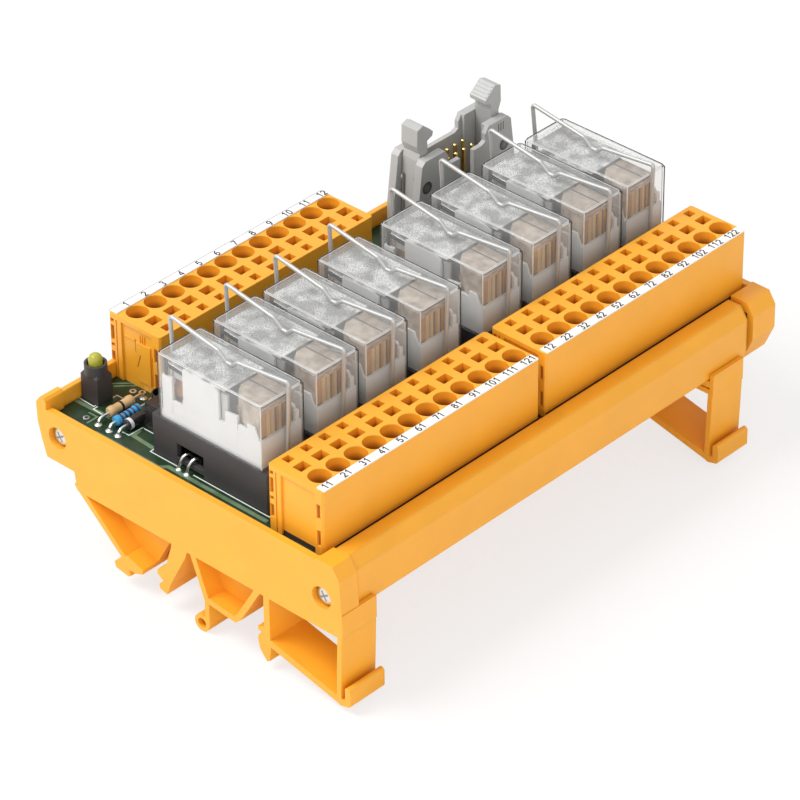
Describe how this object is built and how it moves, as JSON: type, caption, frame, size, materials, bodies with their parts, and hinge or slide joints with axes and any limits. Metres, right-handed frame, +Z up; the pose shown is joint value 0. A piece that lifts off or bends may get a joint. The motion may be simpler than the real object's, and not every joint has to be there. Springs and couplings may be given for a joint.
{
  "type": "relay interface module",
  "caption": "Rail-mounted interface module: plug-in relays with wire clips on a board, between rows of spring terminals, with a latched ribbon header.",
  "frame": {"origin": "middle of the overall width and length, level with the lowest point of the feet", "axes": "+X across the module towards the output terminals, +Y along the rail away from the front end plate, +Z up"},
  "size_m": [0.0868, 0.132, 0.061],
  "materials": {
    "orange_plastic": "fine matt moulding",
    "board_green": "glossy solder resist",
    "dark_plastic": "matt",
    "clear_cover": "clear, polished",
    "pale_plastic": "matt",
    "grey_plastic": "matt",
    "marker_white": "matt",
    "steel": "bright zinc plate",
    "gold_pin": "polished",
    "copper": "enamelled wire",
    "lens": "tinted, clear",
    "component_body": "lacquered"
  },
  "bodies": {
    "module": {"carrier_profile": "orange_plastic", "end_plate_front": "orange_plastic", "end_plate_rear": "orange_plastic", "mounting_foot_rear": "orange_plastic", "end_plate_screws": "steel", "circuit_board": "board_green", "input_terminal_housing": "orange_plastic", "output_terminal_housing_1": "orange_plastic", "output_terminal_housing_2": "orange_plastic", "terminal_clamps": "steel", "marker_strips": "marker_white", "header_shell": "grey_plastic", "header_pins": "gold_pin", "led_holder": "dark_plastic", "supply_led": "lens", "board_components": "component_body", "relay_magnets": "copper", "relay_contacts": "copper", "relay_1_socket": "dark_plastic", "relay_1_cover": "clear_cover", "relay_1_base": "pale_plastic", "relay_2_socket": "dark_plastic", "relay_2_cover": "clear_cover", "relay_2_base": "pale_plastic", "relay_3_socket": "dark_plastic", "relay_3_cover": "clear_cover", "relay_3_base": "pale_plastic", "relay_4_socket": "dark_plastic", "relay_4_cover": "clear_cover", "relay_4_base": "pale_plastic", "relay_5_socket": "dark_plastic", "relay_5_cover": "clear_cover", "relay_5_base": "pale_plastic", "relay_6_socket": "dark_plastic", "relay_6_cover": "clear_cover", "relay_6_base": "pale_plastic", "relay_7_socket": "dark_plastic", "relay_7_cover": "clear_cover", "relay_7_base": "pale_plastic", "relay_8_socket": "dark_plastic", "relay_8_cover": "clear_cover", "relay_8_base": "pale_plastic"},
    "latch_near": {"header_latch_near": "grey_plastic"},
    "latch_far": {"header_latch_far": "grey_plastic"},
    "armature_1": {"relay_1_armature": "steel"},
    "clip_1": {"relay_1_clip": "steel"},
    "armature_2": {"relay_2_armature": "steel"},
    "clip_2": {"relay_2_clip": "steel"},
    "armature_3": {"relay_3_armature": "steel"},
    "clip_3": {"relay_3_clip": "steel"},
    "armature_4": {"relay_4_armature": "steel"},
    "clip_4": {"relay_4_clip": "steel"},
    "armature_5": {"relay_5_armature": "steel"},
    "clip_5": {"relay_5_clip": "steel"},
    "armature_6": {"relay_6_armature": "steel"},
    "clip_6": {"relay_6_clip": "steel"},
    "armature_7": {"relay_7_armature": "steel"},
    "clip_7": {"relay_7_clip": "steel"},
    "armature_8": {"relay_8_armature": "steel"},
    "clip_8": {"relay_8_clip": "steel"}
  },
  "joints": [
    {"name": "latch_near_swing", "type": "hinge", "parent": "module", "child": "latch_near", "pos_m": [-0.03503, 0.0369, 0.03505], "axis": [1, 0, 0], "range_deg": [0, 32]},
    {"name": "latch_far_swing", "type": "hinge", "parent": "module", "child": "latch_far", "pos_m": [-0.03503, 0.0609, 0.03505], "axis": [-1, 0, 0], "range_deg": [0, 32]},
    {"name": "armature_1_tilt", "type": "hinge", "parent": "module", "child": "armature_1", "pos_m": [0.00093, -0.05305, 0.05175], "axis": [0, 1, 0], "range_deg": [0, 4], "stiffness_Nm_per_rad": 0.001, "springref_deg": -5.73},
    {"name": "clip_1_lift", "type": "slide", "parent": "module", "child": "clip_1", "axis": [0, 0, 1], "range_m": [0, 0.026]},
    {"name": "armature_2_tilt", "type": "hinge", "parent": "module", "child": "armature_2", "pos_m": [0.00093, -0.03745, 0.05175], "axis": [0, 1, 0], "range_deg": [0, 4], "stiffness_Nm_per_rad": 0.001, "springref_deg": -5.73},
    {"name": "clip_2_lift", "type": "slide", "parent": "module", "child": "clip_2", "axis": [0, 0, 1], "range_m": [0, 0.026]},
    {"name": "armature_3_tilt", "type": "hinge", "parent": "module", "child": "armature_3", "pos_m": [0.00093, -0.02335, 0.05175], "axis": [0, 1, 0], "range_deg": [0, 4], "stiffness_Nm_per_rad": 0.001, "springref_deg": -5.73},
    {"name": "clip_3_lift", "type": "slide", "parent": "module", "child": "clip_3", "axis": [0, 0, 1], "range_m": [0, 0.026]},
    {"name": "armature_4_tilt", "type": "hinge", "parent": "module", "child": "armature_4", "pos_m": [0.00093, -0.00755, 0.05175], "axis": [0, 1, 0], "range_deg": [0, 4], "stiffness_Nm_per_rad": 0.001, "springref_deg": -5.73},
    {"name": "clip_4_lift", "type": "slide", "parent": "module", "child": "clip_4", "axis": [0, 0, 1], "range_m": [0, 0.026]},
    {"name": "armature_5_tilt", "type": "hinge", "parent": "module", "child": "armature_5", "pos_m": [0.00093, 0.01095, 0.05175], "axis": [0, 1, 0], "range_deg": [0, 4], "stiffness_Nm_per_rad": 0.001, "springref_deg": -5.73},
    {"name": "clip_5_lift", "type": "slide", "parent": "module", "child": "clip_5", "axis": [0, 0, 1], "range_m": [0, 0.026]},
    {"name": "armature_6_tilt", "type": "hinge", "parent": "module", "child": "armature_6", "pos_m": [0.00093, 0.02615, 0.05175], "axis": [0, 1, 0], "range_deg": [0, 4], "stiffness_Nm_per_rad": 0.001, "springref_deg": -5.73},
    {"name": "clip_6_lift", "type": "slide", "parent": "module", "child": "clip_6", "axis": [0, 0, 1], "range_m": [0, 0.026]},
    {"name": "armature_7_tilt", "type": "hinge", "parent": "module", "child": "armature_7", "pos_m": [0.00093, 0.04195, 0.05175], "axis": [0, 1, 0], "range_deg": [0, 4], "stiffness_Nm_per_rad": 0.001, "springref_deg": -5.73},
    {"name": "clip_7_lift", "type": "slide", "parent": "module", "child": "clip_7", "axis": [0, 0, 1], "range_m": [0, 0.026]},
    {"name": "armature_8_tilt", "type": "hinge", "parent": "module", "child": "armature_8", "pos_m": [0.00093, 0.05555, 0.05175], "axis": [0, 1, 0], "range_deg": [0, 4], "stiffness_Nm_per_rad": 0.001, "springref_deg": -5.73},
    {"name": "clip_8_lift", "type": "slide", "parent": "module", "child": "clip_8", "axis": [0, 0, 1], "range_m": [0, 0.026]}
  ]
}
